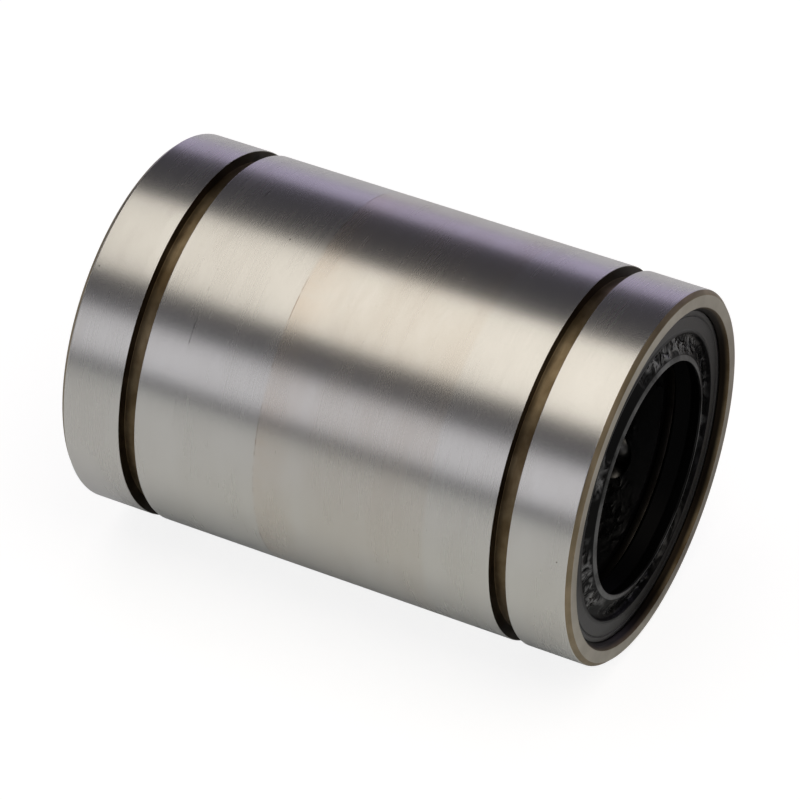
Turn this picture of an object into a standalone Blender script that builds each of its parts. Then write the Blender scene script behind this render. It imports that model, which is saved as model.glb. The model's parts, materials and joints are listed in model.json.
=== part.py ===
# Closed linear ball bearing for a 25 mm shaft, lying on its side with its axis along X.
# Metres, +Z up. The origin is the centre of the bearing. +X is the front end.

from math import acos, cos, pi, radians, sin, sqrt

import bmesh
import bpy
from mathutils import Matrix, Vector

# Main sizes of the bearing
SHAFT_DIAMETER = 0.025
LENGTH = 0.058
CIRCUITS = 6

# Balls
BALL_DIAMETER = 0.003969
BALL_CONTACT_DEPTH = 0.000019
TURN_BALL_COUNT = 2

# Sleeve. The wall is measured from the load raceway to the outside
SLEEVE_WALL = 0.003231
RACEWAY_CLEARANCE = 0.0003
GROOVE_SETBACK = 0.00695
GROOVE_WIDTH = 0.00185
GROOVE_DEPTH = 0.00125
EDGE_CHAMFER = 0.00043
SEAT_STEP = 0.00006
SEAT_MOUTH_FLARE = 0.00055
SEAT_MOUTH_DEPTH = 0.00085

# Cage
CAGE_SHAFT_CLEARANCE = 0.00025
CAGE_SLEEVE_CLEARANCE = 0.00057
TRACK_CLEARANCE = 0.00027
TRACK_FLOOR = 0.0003
TRACK_END_WALL = 0.0011

# Side rings and end seals
FIT_GAP = 0.0003
SIDE_RING_THICKNESS = 0.0008
SIDE_RING_BORE_CLEARANCE = 0.0006
SEAL_THICKNESS = 0.00265
SEAL_RECESS = 0.00095
SEAL_LIP_SQUEEZE = 0.0001
LIP_FACE_WIDTH = 0.0006
LIP_RECESS = 0.0006
LIP_EDGE_BEVEL = 0.00015
LIP_FLANK_WIDTH = 0.0015
LIP_NECK = 0.0006
TROUGH_DEPTH = 0.0005
TROUGH_WIDTH = 0.0006
RIDGE_HEIGHT = 0.0001
RIDGE_WIDTH = 0.0002
RIDGE_SLOPE = 0.00018
SEAL_WEB = 0.0011
HEEL_WIDTH = 0.0024

# Facets round each kind of piece
SLEEVE_FACETS = 60
CAGE_FACETS = 60
SEAL_FACETS = 40
OPEN_ROW_FACETS = 8
HIDDEN_ROW_FACETS = 6
BALL_BANDS = 4
TURN_POINTS = 9
RELIEF_POINTS = 9
CHANNEL_FACETS = 8

# A cutter runs this far past the face that it opens
CUT_MARGIN = 0.001

# From the shaft outward: load row, raceway, outside
BALL_RADIUS = BALL_DIAMETER / 2
BALL_PITCH = BALL_DIAMETER - BALL_CONTACT_DEPTH
LOAD_ROW_RADIUS = SHAFT_DIAMETER / 2 + BALL_RADIUS
RACEWAY_RADIUS = LOAD_ROW_RADIUS + BALL_RADIUS + RACEWAY_CLEARANCE
OUTSIDE_RADIUS = RACEWAY_RADIUS + SLEEVE_WALL

# The cage, and the return rows that run on its floor
CAGE_BORE_RADIUS = SHAFT_DIAMETER / 2 + CAGE_SHAFT_CLEARANCE
CAGE_OUTSIDE_RADIUS = RACEWAY_RADIUS - CAGE_SLEEVE_CLEARANCE
TRACK_RADIUS = BALL_RADIUS + TRACK_CLEARANCE
RETURN_ROW_RADIUS = CAGE_BORE_RADIUS + TRACK_FLOOR + TRACK_RADIUS
CHANNEL_HEIGHT = CAGE_OUTSIDE_RADIUS + CUT_MARGIN - LOAD_ROW_RADIUS

# The relief over a return row, and the seat of ring and seal, which is a little wider
RELIEF_RADIUS = BALL_RADIUS + RACEWAY_CLEARANCE
SEAT_RADIUS = RETURN_ROW_RADIUS + RELIEF_RADIUS + SEAT_STEP
RING_OUTSIDE_RADIUS = SEAT_RADIUS - FIT_GAP

# Along the bearing: shoulder, side ring, seal
HALF_LENGTH = LENGTH / 2
SEAL_BACK = HALF_LENGTH - SEAL_RECESS - SEAL_THICKNESS
SIDE_RING_FACE = SEAL_BACK - FIT_GAP
CAGE_HALF_LENGTH = SIDE_RING_FACE - SIDE_RING_THICKNESS - FIT_GAP

# A circuit: two balls fill each half turn, and as many as fit fill its straight rows
TURN_RADIUS = BALL_PITCH / sqrt(2)
STRAIGHT_ROOM = 2 * (CAGE_HALF_LENGTH - TRACK_END_WALL - TRACK_RADIUS - TURN_RADIUS)
ROW_BALL_COUNT = int(STRAIGHT_ROOM / BALL_PITCH)
HALF_STRAIGHT = ROW_BALL_COUNT * BALL_PITCH / 2
ROW_SPREAD_ANGLE = acos(
    (LOAD_ROW_RADIUS**2 + RETURN_ROW_RADIUS**2 - 4 * TURN_RADIUS**2)
    / (2 * LOAD_ROW_RADIUS * RETURN_ROW_RADIUS)
)

STEEL = ("ground_steel", (0.55, 0.54, 0.53, 1), 0.28, 1.0)
BALL_STEEL = ("ball_steel", (0.66, 0.66, 0.66, 1), 0.08, 1.0)
RING_STEEL = ("ring_steel", (0.42, 0.41, 0.40, 1), 0.35, 1.0)
RESIN = ("moulded_resin", (0.012, 0.012, 0.013, 1), 0.45, 0.0)
RUBBER = ("seal_rubber", (0.015, 0.015, 0.016, 1), 0.30, 0.0)


def clear_scene():
    for item in list(bpy.data.objects):
        bpy.data.objects.remove(item)


def new_collection(name):
    collection = bpy.data.collections.new(name)
    bpy.context.scene.collection.children.link(collection)
    return collection


def make_material(name, colour, roughness, metallic):
    material = bpy.data.materials.new(name)
    material.use_nodes = True
    shader = material.node_tree.nodes["Principled BSDF"]
    shader.inputs["Base Color"].default_value = colour
    shader.inputs["Roughness"].default_value = roughness
    shader.inputs["Metallic"].default_value = metallic
    material.diffuse_color = colour
    return material


def add_object(name, data, collection, material=None):
    item = bpy.data.objects.new(name, data)
    collection.objects.link(item)
    if material:
        data.materials.append(material)
    return item


def profile_mesh(name, points, closed):
    """Edges through (radius, height) points. The outer side runs from the top down."""
    mesh = bpy.data.meshes.new(name)
    shape = bmesh.new()
    verts = [shape.verts.new((radius, 0, height)) for radius, height in points]
    for first, second in zip(verts, verts[1:]):
        shape.edges.new((first, second))
    if closed:
        shape.edges.new((verts[-1], verts[0]))
    shape.to_mesh(mesh)
    shape.free()
    return mesh


def add_screw(item, facets):
    """Turn the object's profile once about its local Z."""
    screw = item.modifiers.new("Turn", "SCREW")
    screw.axis = "Z"
    screw.angle = radians(360)
    screw.steps = facets
    screw.render_steps = facets
    screw.use_merge_vertices = True
    screw.merge_threshold = 0.00001


def turned_piece(name, points, facets, collection, material):
    """A turned solid whose own Z axis lies along world X, with a facet at the bottom."""
    item = add_object(name, profile_mesh(name, points, True), collection, material)
    add_screw(item, facets)
    lengthwise = Matrix.Rotation(radians(90), 4, "Y")
    item.matrix_world = Matrix.Rotation(pi / facets, 4, "X") @ lengthwise
    return item


def evaluated_mesh(item, name):
    graph = bpy.context.evaluated_depsgraph_get()
    return bpy.data.meshes.new_from_object(item.evaluated_get(graph), depsgraph=graph)


def weld(mesh, distance=0.00001):
    shape = bmesh.new()
    shape.from_mesh(mesh)
    bmesh.ops.remove_doubles(shape, verts=shape.verts, dist=distance)
    bmesh.ops.recalc_face_normals(shape, faces=shape.faces)
    shape.to_mesh(mesh)
    shape.free()


def curve_to_cutter(curve_object, collection):
    """Replace a curve by a closed mesh of the same shape and place, used only to cut."""
    bpy.context.view_layer.update()
    mesh = evaluated_mesh(curve_object, curve_object.name)
    weld(mesh)
    cutter = bpy.data.objects.new(curve_object.name + "_solid", mesh)
    cutter.matrix_world = curve_object.matrix_world.copy()
    collection.objects.link(cutter)
    bpy.data.objects.remove(curve_object)
    hide_cutter(cutter)
    return cutter


def hide_cutter(cutter):
    cutter.hide_render = True
    cutter.display_type = "WIRE"


def cut(item, cutter):
    boolean = item.modifiers.new("Cut " + cutter.name, "BOOLEAN")
    boolean.operation = "DIFFERENCE"
    boolean.solver = "EXACT"
    boolean.object = cutter


def mirrored(points):
    """The profile points, followed by their mirror image about the middle height."""
    return points + [(radius, -height) for radius, height in reversed(points)]


def circuit_frame(index):
    """Place of a circuit: X lengthwise, Y across from load row to return row, Z outward."""
    load_angle = index * 2 * pi / CIRCUITS + pi / CIRCUITS
    return_angle = load_angle - ROW_SPREAD_ANGLE
    load_point = Vector((0, cos(load_angle), sin(load_angle))) * LOAD_ROW_RADIUS
    return_point = Vector((0, cos(return_angle), sin(return_angle))) * RETURN_ROW_RADIUS
    along = Vector((1, 0, 0))
    across = (return_point - load_point).normalized()
    normal = along.cross(across)
    middle = (load_point + return_point) / 2
    matrix = Matrix((along, across, normal)).transposed().to_4x4()
    matrix.translation = middle
    return matrix


def outer_half_profile():
    """Outside of the sleeve from the front face to the middle, with one snap-ring groove."""
    outside = OUTSIDE_RADIUS
    floor = outside - GROOVE_DEPTH
    groove_outer = HALF_LENGTH - GROOVE_SETBACK
    groove_inner = groove_outer - GROOVE_WIDTH
    return [
        (outside - EDGE_CHAMFER, HALF_LENGTH),
        (outside, HALF_LENGTH - EDGE_CHAMFER),
        (outside, groove_outer),
        (floor, groove_outer),
        (floor, groove_inner),
        (outside, groove_inner),
    ]


def inner_half_profile():
    """Inside of the sleeve from the middle to the front face, with the seal seat."""
    return [
        (RACEWAY_RADIUS, CAGE_HALF_LENGTH),
        (SEAT_RADIUS, CAGE_HALF_LENGTH),
        (SEAT_RADIUS, HALF_LENGTH - SEAT_MOUTH_DEPTH),
        (SEAT_RADIUS + SEAT_MOUTH_FLARE, HALF_LENGTH),
    ]


def closed_outline(name, points, fill, collection):
    """A flat closed curve through (x, y) points."""
    curve = bpy.data.curves.new(name, "CURVE")
    curve.dimensions = "2D"
    curve.fill_mode = fill
    spline = curve.splines.new("POLY")
    spline.points.add(len(points) - 1)
    spline.use_cyclic_u = True
    for point, (x, y) in zip(spline.points, points):
        point.co = (x, y, 0, 1)
    return add_object(name, curve, collection)


def stadium_points(half_length, radius, points_per_end):
    """Two half circles joined by straight sides, with the long way along X."""
    points = []
    for end in (1, -1):
        for step in range(points_per_end):
            angle = pi * step / (points_per_end - 1)
            points.append((end * (half_length + radius * sin(angle)), -end * radius * cos(angle)))
    return points


def relief_cutter(index, collection):
    """Broached relief over a return row, wide enough for the balls that turn into it."""
    outline = stadium_points(TURN_RADIUS / 2, RELIEF_RADIUS, RELIEF_POINTS)
    relief = closed_outline(f"relief_{index + 1}", outline, "BOTH", collection)
    relief.data.extrude = CAGE_HALF_LENGTH + CUT_MARGIN
    lengthwise = Matrix(((0, 0, 1, 0), (1, 0, 0, 0), (0, 1, 0, 0), (0, 0, 0, 1)))
    toward_return = Matrix.Translation((0, TURN_RADIUS / 2, 0))
    relief.matrix_world = circuit_frame(index) @ toward_return @ lengthwise
    return curve_to_cutter(relief, collection)


def make_sleeve(parts, cutters, material):
    outside = mirrored(outer_half_profile())
    inside = [(radius, -height) for radius, height in reversed(inner_half_profile())]
    sleeve = turned_piece(
        "outer_sleeve", outside + inside + inner_half_profile(), SLEEVE_FACETS, parts, material
    )
    for index in range(CIRCUITS):
        cut(sleeve, relief_cutter(index, cutters))
    return sleeve


def channel_section():
    """Section of a ball channel: a round bottom and straight walls up through the cage's outside."""
    points = [(TRACK_RADIUS, CHANNEL_HEIGHT), (-TRACK_RADIUS, CHANNEL_HEIGHT)]
    for step in range(CHANNEL_FACETS + 1):
        angle = pi + pi * step / CHANNEL_FACETS
        points.append((TRACK_RADIUS * cos(angle), TRACK_RADIUS * sin(angle)))
    return points


def track_cutter(index, collection):
    """The channel of one circuit: its section swept round the closed loop of ball centres."""
    section = closed_outline("channel_section", channel_section(), "NONE", collection)
    path = stadium_points(HALF_STRAIGHT, TURN_RADIUS, TURN_POINTS)
    track = closed_outline(f"track_{index + 1}", path, "NONE", collection)
    track.data.bevel_mode = "OBJECT"
    track.data.bevel_object = section
    track.matrix_world = circuit_frame(index)
    cutter = curve_to_cutter(track, collection)
    bpy.data.objects.remove(section)
    return cutter


def make_cage(parts, cutters, material):
    bore = CAGE_BORE_RADIUS
    outside = CAGE_OUTSIDE_RADIUS
    half = CAGE_HALF_LENGTH
    profile = [(outside, half), (outside, -half), (bore, -half), (bore, half)]
    cage = turned_piece("ball_cage", profile, CAGE_FACETS, parts, material)
    for index in range(CIRCUITS):
        cut(cage, track_cutter(index, cutters))
    return cage


def ball_string_profile(count):
    """Half outline of balls in a row, each joined to the next where they touch."""
    neck_angle = acos(BALL_PITCH / BALL_DIAMETER)
    points = []
    for ball in range(count):
        centre = ((count - 1) / 2 - ball) * BALL_PITCH
        first = 0 if ball == 0 else 1
        for band in range(first, BALL_BANDS + 1):
            angle = neck_angle + (pi - 2 * neck_angle) * band / BALL_BANDS
            if ball == 0 and band == 0:
                angle = 0
            if ball == count - 1 and band == BALL_BANDS:
                angle = pi
            points.append((BALL_RADIUS * sin(angle), centre + BALL_RADIUS * cos(angle)))
    points[0] = (0, points[0][1])
    points[-1] = (0, points[-1][1])
    return points


def add_ball_string(name, profile, facets, collection):
    item = add_object(name, profile, collection)
    add_screw(item, facets)
    return item


def add_empty(name, matrix, collection):
    empty = bpy.data.objects.new(name, None)
    empty.empty_display_size = BALL_DIAMETER
    empty.matrix_world = matrix
    collection.objects.link(empty)
    return empty


def make_circuit(index, parts, guides, row_profile, turn_profile):
    """Load row, return row and the two turns of one ball circuit."""
    frame = circuit_frame(index)
    number = index + 1
    lengthwise = Matrix.Rotation(radians(90), 4, "Y")
    crosswise = Matrix.Rotation(radians(-90), 4, "X")
    for name, side, facets in (
        ("load_row", -1, OPEN_ROW_FACETS),
        ("return_row", 1, HIDDEN_ROW_FACETS),
    ):
        row = add_ball_string(f"{name}_{number}", row_profile, facets, parts)
        row.matrix_world = frame @ Matrix.Translation((0, side * TURN_RADIUS, 0)) @ lengthwise
    for name, end in (("front_turn", 1), ("rear_turn", -1)):
        pivot = frame @ Matrix.Translation((end * HALF_STRAIGHT, 0, 0))
        centre = add_empty(f"{name}_pivot_{number}", pivot, guides)
        offset = Matrix.Translation((end * BALL_PITCH / 2, 0, 0))
        turn = add_ball_string(f"{name}_{number}", turn_profile, HIDDEN_ROW_FACETS, parts)
        turn.parent = centre
        turn.matrix_local = offset @ crosswise


def make_side_ring(name, end, parts, material):
    """Flat steel ring between the cage and the seal."""
    outside = RING_OUTSIDE_RADIUS
    bore = SHAFT_DIAMETER / 2 + SIDE_RING_BORE_CLEARANCE
    far = SIDE_RING_FACE
    near = far - SIDE_RING_THICKNESS
    low, high = (near, far) if end > 0 else (-far, -near)
    profile = [(outside, high), (outside, low), (bore, low), (bore, high)]
    return turned_piece(name, profile, SEAL_FACETS, parts, material)


def seal_profile():
    """Section of the front seal, from its outer corner round the back to the lip and trough."""
    outside = RING_OUTSIDE_RADIUS
    flange = HALF_LENGTH - SEAL_RECESS
    back = SEAL_BACK
    lip = SHAFT_DIAMETER / 2 - SEAL_LIP_SQUEEZE
    lip_face_edge = lip + LIP_FACE_WIDTH
    lip_top = HALF_LENGTH - LIP_RECESS
    floor = flange - TROUGH_DEPTH
    web_back = floor - SEAL_WEB
    trough_inner = lip_face_edge + LIP_FLANK_WIDTH
    trough_outer = trough_inner + TROUGH_WIDTH
    ridge_inner = trough_outer + RIDGE_SLOPE
    ridge_outer = ridge_inner + RIDGE_WIDTH
    ridge_top = flange + RIDGE_HEIGHT
    return [
        (outside, flange),
        (outside, back),
        (outside - HEEL_WIDTH, back),
        (outside - HEEL_WIDTH, web_back),
        (lip_face_edge + LIP_NECK, web_back),
        (lip + LIP_EDGE_BEVEL, back),
        (lip, back + LIP_EDGE_BEVEL),
        (lip + LIP_NECK, web_back + SEAL_WEB / 2),
        (lip, lip_top - LIP_EDGE_BEVEL),
        (lip + LIP_EDGE_BEVEL, lip_top),
        (lip_face_edge, lip_top),
        (trough_inner, floor),
        (trough_outer, floor),
        (ridge_inner, ridge_top),
        (ridge_outer, ridge_top),
        (ridge_outer + RIDGE_SLOPE, flange),
    ]


def make_seal(name, end, parts, material):
    profile = seal_profile()
    if end < 0:
        profile = [(radius, -height) for radius, height in reversed(profile)]
    return turned_piece(name, profile, SEAL_FACETS, parts, material)


def shade_round_pieces(parts):
    for item in parts.objects:
        item.data.shade_smooth()
        item.data.set_sharp_from_angle(angle=radians(35))


def main():
    clear_scene()
    parts = new_collection("linear_ball_bearing")
    cutters = new_collection("cutters")
    guides = new_collection("guides")
    make_sleeve(parts, cutters, make_material(*STEEL))
    make_cage(parts, cutters, make_material(*RESIN))
    ring_material = make_material(*RING_STEEL)
    seal_material = make_material(*RUBBER)
    for name, end in (("front", 1), ("rear", -1)):
        make_side_ring(f"{name}_side_ring", end, parts, ring_material)
        make_seal(f"{name}_end_seal", end, parts, seal_material)
    ball_material = make_material(*BALL_STEEL)
    row_profile = profile_mesh("ball_row", ball_string_profile(ROW_BALL_COUNT), False)
    turn_profile = profile_mesh("ball_turn", ball_string_profile(TURN_BALL_COUNT), False)
    row_profile.materials.append(ball_material)
    turn_profile.materials.append(ball_material)
    for index in range(CIRCUITS):
        make_circuit(index, parts, guides, row_profile, turn_profile)
    shade_round_pieces(parts)


main()
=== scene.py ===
# %% [markdown]
# # A linear ball bearing, dressed for the camera
# The frame holds thirty plain solids at their real size: a steel sleeve, a resin cage, two side rings,
# two rubber seals and the balls in their circuits. This lesson models each of them again with a smooth
# surface, gives every one the finish of the real material, and lights the whole as a small studio would.
# Sizes of the bearing are written in millimetres and turned to metres by one factor.

import json
from math import asin, cos, pi, radians, sin, sqrt

import bpy
from mathutils import Matrix, Vector


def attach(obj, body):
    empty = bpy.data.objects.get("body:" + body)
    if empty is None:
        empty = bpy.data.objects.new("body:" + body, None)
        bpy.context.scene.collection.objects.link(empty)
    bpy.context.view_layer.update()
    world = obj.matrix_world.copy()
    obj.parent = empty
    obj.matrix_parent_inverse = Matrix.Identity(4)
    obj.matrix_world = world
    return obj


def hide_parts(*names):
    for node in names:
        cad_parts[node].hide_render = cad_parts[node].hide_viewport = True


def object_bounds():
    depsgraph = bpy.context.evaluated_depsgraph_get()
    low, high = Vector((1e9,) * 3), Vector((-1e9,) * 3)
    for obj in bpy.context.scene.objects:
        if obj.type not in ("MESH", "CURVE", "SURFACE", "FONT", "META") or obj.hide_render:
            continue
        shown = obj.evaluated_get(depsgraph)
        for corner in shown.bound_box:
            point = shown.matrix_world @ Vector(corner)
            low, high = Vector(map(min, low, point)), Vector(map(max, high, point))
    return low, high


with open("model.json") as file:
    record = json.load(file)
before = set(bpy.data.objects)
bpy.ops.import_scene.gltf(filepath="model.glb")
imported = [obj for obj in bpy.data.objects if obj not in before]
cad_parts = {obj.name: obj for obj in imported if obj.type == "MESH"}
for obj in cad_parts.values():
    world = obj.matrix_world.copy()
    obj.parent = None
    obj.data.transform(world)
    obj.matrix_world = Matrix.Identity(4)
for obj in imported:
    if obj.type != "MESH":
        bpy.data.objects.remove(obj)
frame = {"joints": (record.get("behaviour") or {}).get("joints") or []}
cad_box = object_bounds()
joints = {joint["name"]: joint for joint in frame["joints"]}
MM = 0.001

# %% [markdown]
# ## The camera
# The photograph looks down on the bearing from in front and from its open end. A long lens keeps the
# cylinder's edges nearly parallel, so the camera stands almost half a metre away. It is placed by its
# heading, its height above the horizon and its distance from the point that it looks at, because these
# three are what a photographer would change.

# %% Camera
VIEW_HEADING = radians(27.508)
VIEW_HEIGHT = radians(39.638)
VIEW_DISTANCE = 470.2 * MM
AIM = Vector((0.08, -0.30, -0.36)) * MM
LENS = 204.7
NEAREST_SEEN = 10 * MM

back = Vector((
    sin(VIEW_HEADING) * cos(VIEW_HEIGHT),
    -cos(VIEW_HEADING) * cos(VIEW_HEIGHT),
    sin(VIEW_HEIGHT),
))
camera_data = bpy.data.cameras.new("camera")
camera_data.lens = LENS
camera_data.clip_start = NEAREST_SEEN
camera = bpy.data.objects.new("camera", camera_data)
camera.location = AIM + back * VIEW_DISTANCE
camera.rotation_euler = (-back).to_track_quat("-Z", "Y").to_euler()
bpy.context.scene.collection.objects.link(camera)
bpy.context.scene.camera = camera
bpy.context.scene.view_settings.view_transform = "Standard"
print("camera", [round(v, 4) for v in camera.location])

# %% [markdown]
# ## Small helpers for materials
# Colours are given as hex values, the way a paint chart gives them, and one function turns them
# into the linear numbers that light works with. A second function adds a shader node with its settings
# and its links and gives back one output, so that a material reads from top to bottom like a recipe.

# %% Colour and node helpers
def linear(hex_colour):
    """Turns an sRGB hex colour into linear red, green, blue and a full alpha."""
    channels = []
    for start in (1, 3, 5):
        value = int(hex_colour[start:start + 2], 16) / 255
        channels.append(value / 12.92 if value <= 0.04045 else ((value + 0.055) / 1.055) ** 2.4)
    return (*channels, 1.0)


def add_node(tree, kind, inputs=(), output=0, **settings):
    """Adds a node. Inputs go by place or by name, and each is a value or a socket to link from."""
    node = tree.nodes.new("ShaderNode" + kind)
    for name, value in settings.items():
        setattr(node, name, value)
    for key, value in inputs.items() if isinstance(inputs, dict) else enumerate(inputs):
        if isinstance(value, bpy.types.NodeSocket):
            tree.links.new(value, node.inputs[key])
        else:
            node.inputs[key].default_value = value
    return node.outputs[output] if node.outputs else None


def new_material(name):
    """A material, its node tree and the shader that all its patterns end in."""
    material = bpy.data.materials.new(name)
    material.use_nodes = True
    tree = material.node_tree
    return material, tree, tree.nodes["Principled BSDF"]


print("middle grey is", round(linear("#808080")[0], 3), "in linear light")

# %% [markdown]
# ## The studio
# Polished metal shows nothing but its surroundings, so the surroundings are the picture. A ground
# cylinder turns every panel of light into a band along its side. A wide cream softbox overhead makes
# the bright band, a weaker cool one in front of the table fills below it, and a dim violet one behind
# tints the top edge. The gaps between them stay dark. Each softbox is placed by its angle round the
# bearing's axis: 0 degrees is level behind it, 90 is straight up and 180 is level in front. A fill lamp
# brightens only what isn't a mirror.

# %% Softboxes
def panel(name, location, toward, size, radiance, colour):
    """A flat lamp that stands in the given direction, faces back and is hidden from the camera."""
    data = bpy.data.lights.new(name, "AREA")
    data.shape = "RECTANGLE"
    data.size, data.size_y = size
    data.color = linear(colour)[:3]
    data.energy = radiance * pi * data.size * data.size_y
    lamp = bpy.data.objects.new(name, data)
    lamp.location = location
    lamp.rotation_euler = (-toward).to_track_quat("-Z", "Y").to_euler()
    lamp.visible_camera = False
    bpy.context.scene.collection.objects.link(lamp)
    print(name, "gives", round(data.energy, 2), "watts")
    return lamp


def softbox(name, angle, distance, width, reach, radiance, colour):
    """A panel beside the bearing: its angle round the axis, and how far it reaches along the axis."""
    start, end = reach
    toward = Vector((0, cos(radians(angle)), sin(radians(angle))))
    location = toward * distance + Vector(((start + end) / 2, 0, 0))
    return panel(name, location, toward, (end - start, width), radiance, colour)


softbox("softbox_above", angle=94.5, distance=0.60, width=0.59, reach=(-0.36, 0.90),
        radiance=1.27, colour="#fff8ed")
softbox("softbox_front", angle=158, distance=0.70, width=0.345, reach=(-0.75, 0.55),
        radiance=0.80, colour="#f6f5fb")
softbox("softbox_behind", angle=6.5, distance=0.80, width=0.34, reach=(-0.95, 0.45),
        radiance=0.62, colour="#e0d5f9")
fill_lamp = softbox("fill_behind", angle=35, distance=0.45, width=0.30, reach=(-0.45, 0.15),
                    radiance=0.50, colour="#c9bdf2")
fill_lamp.visible_glossy = False

# %% [markdown]
# Looked at along its axis, the same cylinder mirrors what stands beyond its far end. With nothing there
# it would look black, so a small panel stands off each end. The photograph's own view never meets them.
# They are hidden from matt surfaces, so that the floor stays as it is.

# %% Softboxes off the ends
END_DISTANCE = 0.60
END_HEIGHT = 0.16
END_SIZE = (0.34, 0.24)

for end, name in ((1, "softbox_front_end"), (-1, "softbox_rear_end")):
    place = Vector((end * END_DISTANCE, 0, END_HEIGHT))
    lamp = panel(name, place, Vector((end, 0, 0)), END_SIZE, radiance=0.55, colour="#f6f3ee")
    lamp.visible_diffuse = False

# %% [markdown]
# ## The floor
# The floor is a plain pale sheet. Seen by the camera it is white and still takes the bearing's soft
# shadow: part of its white is a glow, which rises to full white away from the bearing, so that no
# horizon shows. Seen by the metal it is only as bright as the light that falls on it, like real paper.

# %% Floor
FLOOR_SIZE = 4.0
FLOOR_GLOW = 0.83
GLOW_RISES_FROM = 0.15
GLOW_FULL_AT = 0.60
floor_height = cad_box[0][2]

bpy.ops.mesh.primitive_plane_add(size=FLOOR_SIZE, location=(0, 0, floor_height))
floor = bpy.context.object
floor.name = "floor"
paper = bpy.data.materials.new("paper_floor")
paper.use_nodes = True
tree = paper.node_tree
tree.nodes.clear()
place = add_node(tree, "TexCoord", output="Object")
away = add_node(tree, "VectorMath", (place,), "Value", operation="LENGTH")
brighter = add_node(tree, "MapRange", (away, GLOW_RISES_FROM, GLOW_FULL_AT, FLOOR_GLOW, 1.0))
glow = add_node(tree, "Emission", {"Color": linear("#ffffff"), "Strength": brighter})
shaded = add_node(tree, "BsdfDiffuse", {"Color": linear("#959595")})
white = add_node(tree, "AddShader", (shaded, glow))
plain = add_node(tree, "BsdfDiffuse", {"Color": linear("#ebeeef")})
by_camera = add_node(tree, "LightPath", output="Is Camera Ray")
add_node(tree, "OutputMaterial", {"Surface": add_node(tree, "MixShader", (by_camera, plain, white))})
floor.data.materials.append(paper)
print("floor at", round(floor_height / MM, 3), "mm")

# %% [markdown]
# The far side of the end face mirrors the floor right behind it, where the bearing's contact shadow
# falls. A narrow grey strip lies there as a painted shadow that only reflections see. It is hidden from
# the camera, and it casts no shadow.

# %% Grey strip of painted shadow
STRIP_PLACE = (0.041, 0.040, floor_height + 0.2 * MM)
STRIP_SIZE = (0.022, 0.080, 1)

bpy.ops.mesh.primitive_plane_add(size=1, location=STRIP_PLACE)
strip = bpy.context.object
strip.name = "painted_shadow_strip"
strip.scale = STRIP_SIZE
strip.visible_camera = False
strip.visible_diffuse = False
strip.visible_shadow = False
painted_shadow_card, tree, shader = new_material("painted_shadow_strip")
# The strip's grey is a painted shadow of the bearing on the floor behind its end.
shader.inputs["Base Color"].default_value = linear("#a4a3a1")
shader.inputs["Roughness"].default_value = 0.9
strip.data.materials.append(painted_shadow_card)
print("strip", [round(side / MM) for side in STRIP_SIZE[:2]], "mm")

# %% [markdown]
# ## The room
# Beyond the lamps there is only a room. The camera sees it white, like the floor. What shines mirrors it
# as a dark grey with a trace of violet, which is what fills the gaps between the bands of light. Matt
# surfaces get a little light from it on every side.

# %% Room
ROOM_LIGHT = 0.19

world = bpy.data.worlds.new("studio")
bpy.context.scene.world = world
world.use_nodes = True
tree = world.node_tree
tree.nodes.clear()
fill = add_node(tree, "Background", {"Color": linear("#ffffff"), "Strength": ROOM_LIGHT})
dark = add_node(tree, "Background", {"Color": linear("#3c3b41"), "Strength": 1.0})
sheet = add_node(tree, "Background", {"Color": linear("#ffffff"), "Strength": 1.0})
by_metal = add_node(tree, "LightPath", output="Is Glossy Ray")
by_camera = add_node(tree, "LightPath", output="Is Camera Ray")
room = add_node(tree, "MixShader", (by_metal, fill, dark))
add_node(tree, "OutputWorld", {"Surface": add_node(tree, "MixShader", (by_camera, room, sheet))})
print("room light", ROOM_LIGHT)

# %% [markdown]
# ## Turning a ring by hand
# Nearly every piece here is turned: its section goes once round the axis. The section could be drawn and
# spun. Here one circle of vertices is extruded along the axis and scaled, station by station, until it is
# back where it began, and its two ends are bridged. That way was chosen because its stations are lengths
# and radii, as on a workshop drawing, and because a string of balls can be turned with it too.

# %% Turning
def deselect_all():
    if bpy.context.object and bpy.context.object.mode == "EDIT":
        bpy.ops.object.mode_set(mode="OBJECT")
    bpy.ops.object.select_all(action="DESELECT")


def turned(name, stations, sides):
    """Follows (x, radius) stations in millimetres with a circle of vertices round the X axis."""
    deselect_all()
    x, radius = stations[0]
    bpy.ops.mesh.primitive_circle_add(
        vertices=sides, radius=radius * MM, location=(x * MM, 0, 0), rotation=(0, radians(90), 0)
    )
    piece = bpy.context.object
    piece.name = name
    bpy.ops.object.transform_apply(location=True, rotation=True, scale=True)
    bpy.ops.object.mode_set(mode="EDIT")
    bpy.ops.mesh.select_all(action="SELECT")
    for next_x, next_radius in stations[1:]:
        step = ((next_x - x) * MM, 0, 0)
        bpy.ops.mesh.extrude_region_move(TRANSFORM_OT_translate={"value": step})
        growth = next_radius / radius
        bpy.ops.transform.resize(value=(1, growth, growth))
        x, radius = next_x, next_radius
    return piece


def close_section(piece):
    """Bridges the last circle to the first and turns all faces outward."""
    bpy.ops.mesh.select_all(action="DESELECT")
    bpy.ops.mesh.select_mode(type="EDGE")
    bpy.ops.mesh.select_non_manifold()
    bpy.ops.mesh.bridge_edge_loops()
    bpy.ops.mesh.select_all(action="SELECT")
    bpy.ops.mesh.normals_make_consistent(inside=False)
    bpy.ops.object.mode_set(mode="OBJECT")
    print(piece.name, "is turned with", len(piece.data.polygons), "faces")


# %% [markdown]
# ## Finishing a mesh
# No real edge is perfectly sharp, and it is the broken edge that catches the light, so the sleeve, the
# seals and the side rings get a small bevel. A modifier finds their edges by angle, which is surer than
# picking them one by one. After that the wide faces keep their own direction, and only the broken edges
# are shaded round.

# %% Edges and shading
def use_only(piece):
    deselect_all()
    piece.select_set(True)
    bpy.context.view_layer.objects.active = piece


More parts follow.
